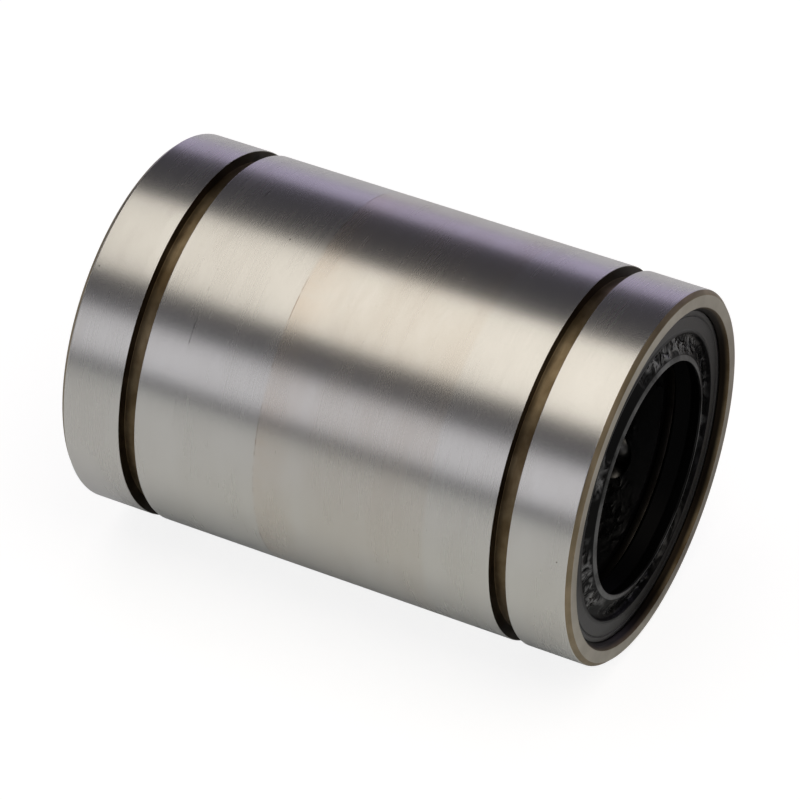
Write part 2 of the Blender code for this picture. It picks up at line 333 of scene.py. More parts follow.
def apply_modifiers(piece):
    use_only(piece)
    for modifier in list(piece.modifiers):
        bpy.ops.object.modifier_apply(modifier=modifier.name)


def break_edges(piece, width, angle=20):
    """Bevels every edge that is sharper than the angle."""
    bevel = piece.modifiers.new("broken edges", "BEVEL")
    bevel.width = width * MM
    bevel.segments = 2
    bevel.limit_method = "ANGLE"
    bevel.angle_limit = radians(angle)
    apply_modifiers(piece)


def smooth(piece, angle=40):
    """Shades the piece smooth, with the wide faces leading at every corner."""
    use_only(piece)
    bpy.ops.object.shade_smooth_by_angle(angle=radians(angle))
    weighted = piece.modifiers.new("weighted normals", "WEIGHTED_NORMAL")
    weighted.weight = 100
    weighted.keep_sharp = True
    apply_modifiers(piece)


# %% [markdown]
# Reliefs and tracks are cut into a turned piece with a tool shape, as on a milling machine. They could be
# modelled into its faces, but a cut lets the tube and the tool each stay a simple shape. A tool starts as
# a round bar or circle, and one half of it is then selected by its place and moved.

# %% Selecting and cutting
def select_vertices(piece, chosen):
    """Enters edit mode with only those vertices selected that the test chooses."""
    use_only(piece)
    bpy.ops.object.mode_set(mode="EDIT")
    bpy.ops.mesh.select_mode(type="VERT")
    bpy.ops.mesh.select_all(action="DESELECT")
    bpy.ops.object.mode_set(mode="OBJECT")
    for vertex in piece.data.vertices:
        vertex.select = chosen(vertex.co)
    bpy.ops.object.mode_set(mode="EDIT")


def cut_away(piece, cutters):
    """Subtracts each cutter from the piece and deletes it."""
    for cutter in cutters:
        boolean = piece.modifiers.new("cut", "BOOLEAN")
        boolean.operation = "DIFFERENCE"
        boolean.solver = "EXACT"
        boolean.object = cutter
    apply_modifiers(piece)
    for cutter in cutters:
        bpy.data.objects.remove(cutter)
    print(piece.name, "has", len(piece.data.polygons), "faces after", len(cutters), "cuts")


# %% [markdown]
# ## Where the circuits lie
# The bearing has six endless loops of balls. Each loop lies flat beside the shaft: its load row touches
# the shaft, and its return row, a little farther out, brings the balls back. The frame's joints say
# where each loop is, so nothing is measured twice: the turns swing about the ends of a loop, and a row
# slides by half a ball pitch each way.

# %% Circuits
CIRCUITS = 6
BALL_RADIUS = 3.969 / 2
pitch = 2 * joints["load_row_slide_1"]["range_m"][1] / MM
turn_radius = pitch / sqrt(2)
half_straight = joints["front_turn_hinge_1"]["pos_m"][0] / MM
row_balls = round(2 * half_straight / pitch)


def circuit_place(number):
    """From a circuit's own plane to the world: X lengthwise, Y from load row to return row, Z outward."""
    hinge = joints[f"front_turn_hinge_{number}"]
    outward = Vector(hinge["axis"]).normalized()
    along = Vector((1, 0, 0))
    across = outward.cross(along)
    place = Matrix((along, across, outward)).transposed().to_4x4()
    place.translation = Vector((0, hinge["pos_m"][1], hinge["pos_m"][2]))
    return place


def put(piece, place):
    """Moves the mesh itself, so that the object stays at the origin."""
    piece.data.transform(place)
    piece.data.update()


print("pitch", round(pitch, 3), "mm, balls in a row", row_balls, "turn radius", round(turn_radius, 3))

# %% [markdown]
# ## The sleeve
# The sleeve is a tube of bearing steel, hardened, ground on the outside and faced off at both ends.
# Two grooves for snap rings run round it, and each end has a counterbore for a seal. All of that is one
# turned section, drawn for the front half and mirrored for the rear, so that both ends match.

# %% Sleeve
HALF_LENGTH = 29.0
OUTSIDE = 20.0
CHAMFER = 0.50
GROOVE_OUTER = 22.05
GROOVE_WIDTH = 1.85
GROOVE_FLOOR = 18.75
SEAT = 17.649
SEAT_MOUTH = 18.2
MOUTH_DEPTH = 0.85
SHOULDER = 24.0
RACEWAY = 16.769
SLEEVE_SIDES = 240
SLEEVE_EDGE = 0.07


def sleeve_half():
    """The section from the middle of the outside to the middle of the bore, over the front face."""
    groove_inner = GROOVE_OUTER - GROOVE_WIDTH
    return [
        (groove_inner, OUTSIDE), (groove_inner, GROOVE_FLOOR),
        (GROOVE_OUTER, GROOVE_FLOOR), (GROOVE_OUTER, OUTSIDE),
        (HALF_LENGTH - CHAMFER, OUTSIDE), (HALF_LENGTH, OUTSIDE - CHAMFER),
        (HALF_LENGTH, SEAT_MOUTH), (HALF_LENGTH - MOUTH_DEPTH, SEAT),
        (SHOULDER, SEAT), (SHOULDER, RACEWAY),
    ]


front_half = sleeve_half()
rear_half = [(-x, radius) for x, radius in reversed(front_half)]
sleeve = turned("sleeve", front_half + rear_half, SLEEVE_SIDES)
close_section(sleeve)
break_edges(sleeve, SLEEVE_EDGE)

# %% [markdown]
# The balls run back without load, so the sleeve makes room for them: six reliefs are broached along its
# bore, and the lands that stay between them carry the load rows. A relief's tool is a long round bar in
# the middle of a loop. Half of it is moved to the return row, so that this row and the turns have room.

# %% Reliefs
RELIEF_RADIUS = BALL_RADIUS + 0.3
RELIEF_OVERRUN = 1.0
RELIEF_SIDES = 32


def relief_cutter(number):
    deselect_all()
    bpy.ops.mesh.primitive_cylinder_add(
        vertices=RELIEF_SIDES, radius=RELIEF_RADIUS * MM,
        depth=2 * (SHOULDER + RELIEF_OVERRUN) * MM, rotation=(0, radians(90), 0),
    )
    bar = bpy.context.object
    bpy.ops.object.transform_apply(location=True, rotation=True, scale=True)
    select_vertices(bar, lambda point: point.y > 0)
    bpy.ops.transform.translate(value=(0, turn_radius * MM, 0))
    bpy.ops.object.mode_set(mode="OBJECT")
    put(bar, circuit_place(number))
    return bar


cut_away(sleeve, [relief_cutter(number + 1) for number in range(CIRCUITS)])
smooth(sleeve)
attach(sleeve, "housing")
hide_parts("outer_sleeve")

# %% [markdown]
# ## The end seals
# Each seal is a ring of black rubber pressed into the counterbore. From outside inward it has a flat
# flange with a fine groove, a bead, a trough that always holds some grease, and a flank that rises to
# the lip. The lip is a little tighter than the shaft, and a second one behind it keeps the grease in.
# The rear seal is the front one turned round.

# %% Seals
SEAL_SIDES = 200
SEAL_EDGE = 0.06
SEAL_OUTSIDE = 17.6
SEAL_BACK = 25.4
FLANGE_FACE = 28.05
HEEL = [(FLANGE_FACE, SEAL_OUTSIDE), (SEAL_BACK, SEAL_OUTSIDE), (SEAL_BACK, 14.949), (26.45, 14.949)]
INNER_LIP = [(26.45, 13.6), (SEAL_BACK, 12.55), (25.55, 12.4), (27.0, 13.0)]
OUTER_LIP = [(28.34, 12.4), (28.42, 12.42), (28.45, 12.5), (28.30, 12.95), (28.24, 13.05), (28.0, 13.7)]
TROUGH = [(27.62, 14.4), (27.55, 14.62), (27.55, 15.0), (27.7, 15.16)]
BEAD = [(28.15, 15.28), (28.15, 15.48), (FLANGE_FACE, 15.66)]
FLANGE_GROOVE = [(FLANGE_FACE, 16.95), (27.97, 17.0), (27.97, 17.08), (FLANGE_FACE, 17.13)]
SEAL_SECTION = HEEL + INNER_LIP + OUTER_LIP + TROUGH + BEAD + FLANGE_GROOVE


def make_seal(name, end):
    seal = turned(name, [(end * x, radius) for x, radius in SEAL_SECTION], SEAL_SIDES)
    close_section(seal)
    break_edges(seal, SEAL_EDGE, angle=25)
    smooth(seal, angle=60)
    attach(seal, "housing")
    return seal


front_seal = make_seal("front_seal", 1)
rear_seal = make_seal("rear_seal", -1)
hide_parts("front_end_seal")
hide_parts("rear_end_seal")

# %% [markdown]
# ## The side rings
# Behind each seal a flat stamped ring of steel keeps the cage endwise. It shows only as a thin edge deep
# in the bore, so its section is a plain rectangle with broken edges.

# %% Side rings
RING_INNER = 13.1
RING_NEAR = 24.3
RING_FAR = 25.1
RING_EDGE = 0.1
RING_SECTION = [
    (RING_FAR, SEAL_OUTSIDE), (RING_NEAR, SEAL_OUTSIDE), (RING_NEAR, RING_INNER), (RING_FAR, RING_INNER),
]


def make_side_ring(name, end):
    ring = turned(name, [(end * x, radius) for x, radius in RING_SECTION], SEAL_SIDES)
    close_section(ring)
    break_edges(ring, RING_EDGE)
    smooth(ring)
    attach(ring, "housing")
    return ring


front_ring = make_side_ring("front_ring", 1)
rear_ring = make_side_ring("rear_ring", -1)
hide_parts("front_side_ring")
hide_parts("rear_side_ring")

# %% [markdown]
# ## The cage
# The cage is one moulding of black resin: a plain tube that fills the sleeve between the side rings, with
# six tracks in it. It is only seen through the lip, so its edges need no bevel.

# %% Cage
CAGE_INNER = 12.75
CAGE_OUTER = 16.199
CAGE_HALF = 24.0
CAGE_SIDES = 144

cage = turned("cage", [
    (CAGE_HALF, CAGE_INNER), (CAGE_HALF, CAGE_OUTER), (-CAGE_HALF, CAGE_OUTER), (-CAGE_HALF, CAGE_INNER),
], CAGE_SIDES)
close_section(cage)

# %% [markdown]
# Its tracks are slots that are wide open outward, so that the balls can be filled in. Inward a track is
# narrower than a ball under the load row and closed under the return row, so that none can fall out. It
# is cut with a tool that has a round bottom and straight sides: one section is extruded along a row, spun
# round a turn, extruded back and spun again.

# %% Tracks
TRACK_RADIUS = BALL_RADIUS + 0.27
TRACK_LIFT = 2.6
TRACK_SIDES = 28
TURN_STEPS = 16
SAME_POINT = 0.01


def track_cutter(number):
    deselect_all()
    bpy.ops.mesh.primitive_circle_add(
        vertices=TRACK_SIDES, radius=TRACK_RADIUS * MM,
        location=(-half_straight * MM, -turn_radius * MM, 0), rotation=(0, radians(90), 0),
    )
    tool = bpy.context.object
    bpy.ops.object.transform_apply(location=True, rotation=True, scale=True)
    select_vertices(tool, lambda point: point.z > SAME_POINT * MM)
    bpy.ops.transform.translate(value=(0, 0, TRACK_LIFT * MM))
    bpy.ops.mesh.select_all(action="SELECT")
    for end in (1, -1):
        length = end * 2 * half_straight * MM
        bpy.ops.mesh.extrude_region_move(TRANSFORM_OT_translate={"value": (length, 0, 0)})
        bpy.ops.mesh.spin(
            steps=TURN_STEPS, angle=-pi, center=(end * half_straight * MM, 0, 0), axis=(0, 0, 1)
        )
    bpy.ops.mesh.select_all(action="SELECT")
    bpy.ops.mesh.remove_doubles(threshold=SAME_POINT * MM)
    bpy.ops.mesh.normals_make_consistent(inside=False)
    bpy.ops.object.mode_set(mode="OBJECT")
    put(tool, circuit_place(number))
    return tool


cut_away(cage, [track_cutter(number + 1) for number in range(CIRCUITS)])
smooth(cage)
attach(cage, "housing")
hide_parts("ball_cage")

# %% [markdown]
# ## Strings of balls
# Balls in a row touch, so a row is turned as one string: the circle of vertices swells and narrows with
# each ball and pinches to a tiny neck where two balls meet. Both ends are closed by merging a last small
# circle to a point. The balls are drawn a hundredth of a millimetre apart, so that a string never cuts
# into the next one as the loop moves.

# %% Ball strings
BALL_SIDES = 24
BALL_BANDS = 12
NECK_RADIUS = 0.02
DRAWN_RADIUS = pitch / 2 - 0.005
TURN_BALLS = 2
END_CIRCLE = 0.001


def ball_stations(count):
    pole = asin(NECK_RADIUS / DRAWN_RADIUS)
    stations = []
    for ball in range(count):
        centre = (ball - (count - 1) / 2) * pitch
        for band in range(BALL_BANDS + 1):
            angle = pole + (pi - 2 * pole) * band / BALL_BANDS
            stations.append((centre - DRAWN_RADIUS * cos(angle), DRAWN_RADIUS * sin(angle)))
    return stations


def ball_string(name, count):
    string = turned(name, ball_stations(count), BALL_SIDES)
    bpy.ops.object.mode_set(mode="OBJECT")
    reach = max(abs(vertex.co.x) for vertex in string.data.vertices)
    for end in (1, -1):
        select_vertices(string, lambda point: end * point.x > reach - END_CIRCLE * MM)
        bpy.ops.mesh.merge(type="CENTER")
    bpy.ops.mesh.select_all(action="SELECT")
    bpy.ops.mesh.normals_make_consistent(inside=False)
    bpy.ops.object.mode_set(mode="OBJECT")
    smooth(string, angle=80)
    print(name, "has", count, "balls and", len(string.data.polygons), "faces")
    return string


row_pattern = ball_string("row_pattern", row_balls)
turn_pattern = ball_string("turn_pattern", TURN_BALLS)

# %% [markdown]
# Each circuit takes four strings: the load row, the return row on the other side of the loop, and a
# short string across each end. Every string is a copy with a mesh of its own, and rides on its own body,
# because the four move in different directions when the loop turns.

# %% Ball circuits
def add_string(pattern, body, place):
    """Copies a pattern to its place, as the string of the body and the node of that name."""
    string = bpy.data.objects.new(f"balls_{body}", pattern.data.copy())
    bpy.context.scene.collection.objects.link(string)
    put(string, place)
    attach(string, body)
    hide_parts(body)
    return string


strings = []
across_loop = Matrix.Rotation(radians(90), 4, "Z")
for number in range(1, CIRCUITS + 1):
    place = circuit_place(number)
    for row, side in (("load_row", -1), ("return_row", 1)):
        shift = Matrix.Translation((0, side * turn_radius * MM, 0))
        strings.append(add_string(row_pattern, f"{row}_{number}", place @ shift))
    for turn, end in (("front_turn", 1), ("rear_turn", -1)):
        shift = Matrix.Translation((end * (half_straight + pitch / 2) * MM, 0, 0))
        strings.append(add_string(turn_pattern, f"{turn}_{number}", place @ shift @ across_loop))
for pattern in (row_pattern, turn_pattern):
    bpy.data.objects.remove(pattern)
print("strings", len(strings), "balls", CIRCUITS * 2 * (row_balls + TURN_BALLS))

# %% [markdown]
# ## Where a pattern lies
# Every pattern below is worked out from a real size in millimetres, and many of them stop at a certain
# place on the bearing, as grease or a tool mark does. So there are helpers for the size of a pattern,
# for the distance along the axis and from it, and for a band with soft edges.

# %% Pattern helpers
def pattern_space(tree, size):
    """Object coordinates in which a pattern repeats after so many millimetres along X, Y and Z."""
    place = add_node(tree, "TexCoord", output="Object")
    return add_node(tree, "Mapping", {"Vector": place, "Scale": [1 / (side * MM) for side in size]})


def place_along(tree):
    """Where a point lies along the axis. It is negative in the rear half."""
    place = add_node(tree, "TexCoord", output="Object")
    return add_node(tree, "SeparateXYZ", (place,), "X")


def depth_of(tree):
    """Distance from the bearing's middle along the axis, the same at both ends."""
    return add_node(tree, "Math", (place_along(tree),), operation="ABSOLUTE")


def radius_of(tree):
    """Distance from the bearing's axis, which is the X axis."""
    place = add_node(tree, "TexCoord", output="Object")
    flat = add_node(tree, "VectorMath", (place, (0, 1, 1)), operation="MULTIPLY")
    return add_node(tree, "VectorMath", (flat,), "Value", operation="LENGTH")


def soft_band(tree, value, centre, half_width, softness):
    """One inside a band round a centre value, falling to zero over the softness. All in millimetres."""
    offset = add_node(tree, "Math", (value, centre * MM), operation="SUBTRACT")
    distance = add_node(tree, "Math", (offset,), operation="ABSOLUTE")
    return add_node(tree, "MapRange", (distance, half_width * MM, (half_width + softness) * MM, 1, 0))


print("a 0.2 mm pattern repeats", round(2 * HALF_LENGTH / 0.2), "times along the sleeve")

# %% [markdown]
# ## Marks of the grinding wheel
# The wheel overlapped itself along a zone in the middle, which is a trace browner than the rest, most of
# all beside its left edge. The edge itself is a hairline that comes and goes, and farther to the left a
# broken scratch runs round the tube. A painted image could hold such marks. Here each one is a soft band
# along the axis, broken up by noise, because its place and width are then sizes that can be changed.

# %% Grinding marks
OVERLAP_CENTRE = 3.2
OVERLAP_HALF_WIDTH = 9.3
OVERLAP_SOFTNESS = 0.6
WARM_FROM = (-6.5, -6.3)
WARM_TO = (-6.0, -1.5)
HAIRLINE = -6.4
SCRATCH = -15.8
LINE_HALF_WIDTH = 0.02
HAIRLINE_SOFTNESS = 0.07
SCRATCH_SOFTNESS = 0.06
PATCH_SIZE = (11.1, 4.35, 4.35)


def grinding_marks(tree, blotch):
    """How strongly each mark covers the plain steel, and its colour."""
    x = place_along(tree)
    patches = add_node(tree, "TexNoise", {
        "Vector": pattern_space(tree, PATCH_SIZE), "Scale": 1.0, "Detail": 4.0, "Roughness": 0.7,
    }, "Fac")
    overlap = soft_band(tree, x, OVERLAP_CENTRE, OVERLAP_HALF_WIDTH, OVERLAP_SOFTNESS)
    rises = add_node(tree, "MapRange", (x, WARM_FROM[0] * MM, WARM_FROM[1] * MM, 0, 1))
    falls = add_node(tree, "MapRange", (x, WARM_TO[0] * MM, WARM_TO[1] * MM, 1, 0))
    warm = add_node(tree, "Math", (rises, falls), operation="MULTIPLY")
    hairline = soft_band(tree, x, HAIRLINE, LINE_HALF_WIDTH, HAIRLINE_SOFTNESS)
    scratch = soft_band(tree, x, SCRATCH, LINE_HALF_WIDTH, SCRATCH_SOFTNESS)
    marks = []
    for band, noise, limits, colour in (
        (overlap, blotch, (0.30, 0.70, 0.15, 0.6), "#cbc4ba"),
        (warm, patches, (0.35, 0.65, 0.05, 0.4), "#d2c3b3"),
        (hairline, patches, (0.47, 0.60, 0, 0.5), "#7a614a"),
        (scratch, patches, (0.54, 0.62, 0, 0.6), "#4a4844"),
    ):
        strength = add_node(tree, "MapRange", (noise, *limits))
        marks.append((add_node(tree, "Math", (band, strength), operation="MULTIPLY"), colour))
    print("grinding marks", [colour for amount, colour in marks])
    return marks


# %% [markdown]
# ## Pits and flecks
# Here and there the surface has a tiny dark pit, and under the lens its grain shows as darker flecks.
# The pits sit in the middle of cells. About one cell in five has one, chosen by its own random colour.

# %% Pits and flecks
PIT_SPACING = 2.5
PIT_CORE = 0.022
PIT_RIM = 0.045


def pits_and_flecks(tree, grain):
    """How strongly a pit or a fleck covers the steel, and its colour."""
    cells = pattern_space(tree, (PIT_SPACING, PIT_SPACING, PIT_SPACING))
    distance = add_node(tree, "TexVoronoi", {"Vector": cells, "Scale": 1.0}, "Distance")
    pit = add_node(tree, "MapRange", (distance, PIT_CORE, PIT_RIM, 1, 0))
    cell_number = add_node(tree, "SeparateColor", (distance.node.outputs["Color"],))
    chosen = add_node(tree, "MapRange", (cell_number, 0.78, 0.80, 0, 1))
    pits = add_node(tree, "Math", (pit, chosen), operation="MULTIPLY")
    flecks = add_node(tree, "MapRange", (grain, 0.62, 0.80, 0, 0.5))
    print("a pit is", round(2 * PIT_RIM * PIT_SPACING, 2), "mm across")
    return [(pits, "#5c5852"), (flecks, "#b3b0aa")]


# %% [markdown]
# ## Ground bearing steel
# Bearing steel after cylindrical grinding is a soft silver. The wheel leaves very fine lines round the
# tube, which draw each reflection out into a silky band, and a little blotchiness where its pressure
# changed. The real lines and grain are finer than the picture can show, so they are drawn about three
# times as coarse. The noise for the lines is stretched round the tube.

# %% Ground steel
LINE_SIZE = (0.2, 14.3, 14.3)
GRAIN_SIZE = (0.154, 0.154, 0.154)
BLOTCH_SIZE = (6.67, 16.7, 16.7)
GROUND_ROUGHNESS = (0.255, 0.272)
BLOTCH_ROUGHNESS = (-0.015, 0.02)
BUMP_HEIGHT = 0.01


def ground_steel():
    """Hardened steel, cylindrically ground: silver, silky and slightly uneven."""
    material, tree, shader = new_material("ground_bearing_steel")
    lines = add_node(tree, "TexNoise", {
        "Vector": pattern_space(tree, LINE_SIZE), "Scale": 1.0, "Detail": 2.0, "Roughness": 0.5,
    }, "Fac")
    grain = add_node(tree, "TexNoise", {
        "Vector": pattern_space(tree, GRAIN_SIZE), "Scale": 1.0, "Detail": 2.0, "Roughness": 0.7,
    }, "Fac")
    blotch = add_node(tree, "TexNoise", {
        "Vector": pattern_space(tree, BLOTCH_SIZE), "Scale": 1.0, "Detail": 5.0, "Roughness": 0.6,
    }, "Fac")
    tone = linear("#d4d3cf")
    darker = add_node(tree, "MapRange", (blotch, 0.35, 0.7, 0, 1))
    layers = [(darker, "#cdcbc6"), *grinding_marks(tree, blotch), *pits_and_flecks(tree, grain)]
    for amount, colour in layers:
        tone = add_node(tree, "Mix", {"Factor": amount, "A": tone, "B": linear(colour)}, "Result",
                        data_type="RGBA")
    tree.links.new(tone, shader.inputs["Base Color"])
    shader.inputs["Metallic"].default_value = 1.0
    by_line = add_node(tree, "MapRange", (lines, 0.3, 0.7, *GROUND_ROUGHNESS))
    by_blotch = add_node(tree, "MapRange", (blotch, 0.3, 0.7, *BLOTCH_ROUGHNESS))
    rough = add_node(tree, "Math", (by_line, by_blotch), operation="ADD")
    tree.links.new(rough, shader.inputs["Roughness"])
    coarse = add_node(tree, "Bump", {"Strength": 0.006, "Distance": BUMP_HEIGHT * MM, "Height": lines})
    fine = add_node(tree, "Bump", {
        "Strength": 0.12, "Distance": BUMP_HEIGHT * MM, "Height": grain, "Normal": coarse,
    })
    tree.links.new(fine, shader.inputs["Normal"])
    print("ground steel with lines of", LINE_SIZE[0], "mm and grain of", GRAIN_SIZE[0], "mm")
    return material


# %% [markdown]
# ## Heat-tinted steel
# Where no wheel touches the hardened part, a thin brown oxide stays. It is still metal, so it keeps its
# metallic shine, but darker, warmer and rougher, with the fine rings of the lathe tool. In the bore it
# goes from brown to near black: partly oil, and partly painted shade that deepens away from the end.

# %% Heat-tinted steel
TOOL_RING_SIZE = (0.111, 3.33, 3.33)
STAIN_SIZE = (2.0, 3.125, 3.125)
RING_ROUGHNESS = 0.12
# The bore's darkening is partly oil and partly painted shade, which grows deeper in.
OIL_AND_SHADE_RADIUS = (18.4, 18.3)
OIL_AND_SHADE_DEPTH = (28.98, 28.55)


def tinted_steel(name, first, second, rough):
    """Turned steel under an oxide: pale to brown, dull and cloudy, with the tool's rings in its gloss."""
    material, tree, shader = new_material(name)
    rings = add_node(tree, "TexNoise", {
        "Vector": pattern_space(tree, TOOL_RING_SIZE), "Scale": 1.0, "Detail": 2.0,
    }, "Fac")
    stain = add_node(tree, "TexNoise", {
        "Vector": pattern_space(tree, STAIN_SIZE), "Scale": 1.0, "Detail": 4.0,
    }, "Fac")
    stained = add_node(tree, "MapRange", (stain, 0.35, 0.65, 0, 1))
    oil_and_shade_radius = [edge * MM for edge in OIL_AND_SHADE_RADIUS]
    oil_and_shade_depth = [edge * MM for edge in OIL_AND_SHADE_DEPTH]
    within = add_node(tree, "MapRange", (radius_of(tree), *oil_and_shade_radius, 0, 1))
    below_face = add_node(tree, "MapRange", (depth_of(tree), *oil_and_shade_depth, 0, 1))
    in_bore = add_node(tree, "Math", (within, below_face), operation="MULTIPLY")
    tone = linear(first)
    # Darker in the bore: partly oil, partly painted shade.
    for amount, colour in ((stained, second), (in_bore, "#1d1813")):
        tone = add_node(tree, "Mix", {"Factor": amount, "A": tone, "B": linear(colour)}, "Result",
                        data_type="RGBA")
    tree.links.new(tone, shader.inputs["Base Color"])
    shader.inputs["Metallic"].default_value = 1.0
    rougher = add_node(tree, "MapRange", (rings, 0.3, 0.7, rough, rough + RING_ROUGHNESS))
    tree.links.new(rougher, shader.inputs["Roughness"])
    bump = add_node(tree, "Bump", {"Strength": 0.2, "Distance": BUMP_HEIGHT * MM, "Height": rings})
    tree.links.new(bump, shader.inputs["Normal"])
    print(name, "from", first, "to", second)
    return material


# %% [markdown]
# The finishes meet on one mesh, so each face is given one by its place. The outside is ground, the end
# faces are faced off and pale, the chamfers are browned, the grooves have a brown floor and walls that
# are dark with oil and painted shade, and the bore is dark with oil and painted shade.

# %% Finishes of the sleeve
GROUND, BROWN, DARK, FACED, CHAMFERED = range(5)
WHEEL_DEPTH = 0.06
NEARLY = 0.05
FACE_TILT = 0.95
WALL_TILT = 0.3
MOUTH_MARGIN = 0.3
SHOULDER_MARGIN = 0.1
GROOVE_MARGIN = 0.5


def finish_of(face):
    radius = sqrt(face.center.y ** 2 + face.center.z ** 2) / MM
    depth = abs(face.center.x) / MM
    tilt = abs(face.normal.x)
    if radius > OUTSIDE - WHEEL_DEPTH:
        return GROUND
    if tilt > FACE_TILT and depth > HALF_LENGTH - NEARLY:
        return FACED
    if radius > SEAT_MOUTH + MOUTH_MARGIN and depth > HALF_LENGTH - CHAMFER - NEARLY:
        return CHAMFERED
    in_bore = depth < SHOULDER + SHOULDER_MARGIN and radius < SEAT
    in_groove = radius > GROOVE_FLOOR + NEARLY and depth < GROOVE_OUTER + GROOVE_MARGIN
    groove_wall = in_groove and tilt > WALL_TILT
    return DARK if in_bore or groove_wall else BROWN


sleeve.data.materials.append(ground_steel())
for name, first, second, rough in (
    ("heat_tinted_steel", "#82735a", "#5e4f39", 0.34),
    # Groove walls and bore: a dark colour that is partly oil and partly painted shade.
    ("oil_and_painted_shade_steel", "#473b2b", "#33291d", 0.40),
    ("faced_steel", "#bfbaae", "#b0aa9e", 0.42),
    ("browned_chamfer_steel", "#968870", "#82755e", 0.42),
):
    sleeve.data.materials.append(tinted_steel(name, first, second, rough))
for face in sleeve.data.polygons:
    face.material_index = finish_of(face)
ground_faces = sum(face.material_index == GROUND for face in sleeve.data.polygons)
print("ground faces", ground_faces, "of", len(sleeve.data.polygons))

# %% [markdown]
# ## Grease
# Grease lies on the seals and in the bore in smears. Where it lies thick it stands up in lumps whose
# tops catch the light, and elsewhere it only makes the surface a little glossier. One noise says where
# it lies and a finer one is the height of its lumps, so the shine stays on the lumps.

# %% Grease
LUMP_SIZE = (0.909, 1.54, 1.54)
SMEAR_SIZE = (7.69, 10.0, 10.0)


def grease_film(tree, reach):
    """How much grease lies at a point within its reach, how it shines and the height of its lumps."""
    lumps = add_node(tree, "TexNoise", {
        "Vector": pattern_space(tree, LUMP_SIZE), "Scale": 1.0, "Detail": 2.0, "Roughness": 0.45,
        "Distortion": 0.7,
    }, "Fac")
    smears = add_node(tree, "TexNoise", {
        "Vector": pattern_space(tree, SMEAR_SIZE), "Scale": 1.0, "Detail": 3.0, "Roughness": 0.6,
    }, "Fac")
    smeared = add_node(tree, "MapRange", (smears, 0.46, 0.54, 0, 1))
    amount = add_node(tree, "Math", (reach, smeared), operation="MULTIPLY")
    lump_tops = add_node(tree, "MapRange", (lumps, 0.46, 0.60, 0, 1))
    shine = add_node(tree, "Math", (amount, lump_tops), operation="MULTIPLY")
    return amount, shine, lumps


print("grease lumps of about", LUMP_SIZE[1], "mm")

# %% [markdown]
# ## The seals' rubber
# The front edge of a seal's lip is a narrow land that the shaft and the hands of the fitter rub. It goes
# matt and grey there, in patches, and the grey is also a painted highlight along the lip's edge. The land
# is found by its distance from the axis and from the middle, and the wear by a noise of a few
# millimetres.

# %% Worn land of the lip, with a painted highlight
LAND_RADIUS = 12.71
LAND_HALF_WIDTH = 0.25
LAND_DEPTH = 28.20
LAND_SIDE_SOFTNESS = 0.06
LAND_DEPTH_SOFTNESS = 0.04
WEAR_SIZE = (5.56, 5.56, 5.56)


def land_wear_and_highlight(tree):
    """One on the worn parts of the lip's land, less where the rubber is still black. Its grey is partly
    wear and partly a painted highlight.
    """
    ring = soft_band(tree, radius_of(tree), LAND_RADIUS, LAND_HALF_WIDTH, LAND_SIDE_SOFTNESS)
    front = (LAND_DEPTH * MM, (LAND_DEPTH + LAND_DEPTH_SOFTNESS) * MM)
    in_front = add_node(tree, "MapRange", (depth_of(tree), *front, 0, 1))
    land = add_node(tree, "Math", (ring, in_front), operation="MULTIPLY")
    wear = add_node(tree, "TexNoise", {
        "Vector": pattern_space(tree, WEAR_SIZE), "Scale": 1.0, "Detail": 5.0, "Roughness": 0.6,
    }, "Fac")
    worn = add_node(tree, "MapRange", (wear, 0.38, 0.58, 0.2, 1))
    return add_node(tree, "Math", (land, worn), operation="MULTIPLY")


print("the lip's land is", 2 * LAND_HALF_WIDTH, "mm wide")

# %% [markdown]
# Nitrile rubber is black with a dim sheen. The flange was moulded against a polished tool and shines a
# little more, and behind the lip the rubber is dull, and its colour a little darker as painted shade. The
# trough between them holds the grease. Each zone is found by its place, and then one list of layers is
# laid for the colour, one for the roughness and one for the strength of the shine.

# %% Greased rubber
FLANGE_RADIUS = 15.5
FLANGE_SOFTNESS = 0.2
DULL_RADIUS = 13.3
DULL_DEPTH = 28.1
DULL_SOFTNESS = 0.1
TROUGH_RADIUS = 14.15
TROUGH_HALF_WIDTH = 0.75
TROUGH_SOFTNESS = 0.4
GREASE_HEIGHT = 0.7


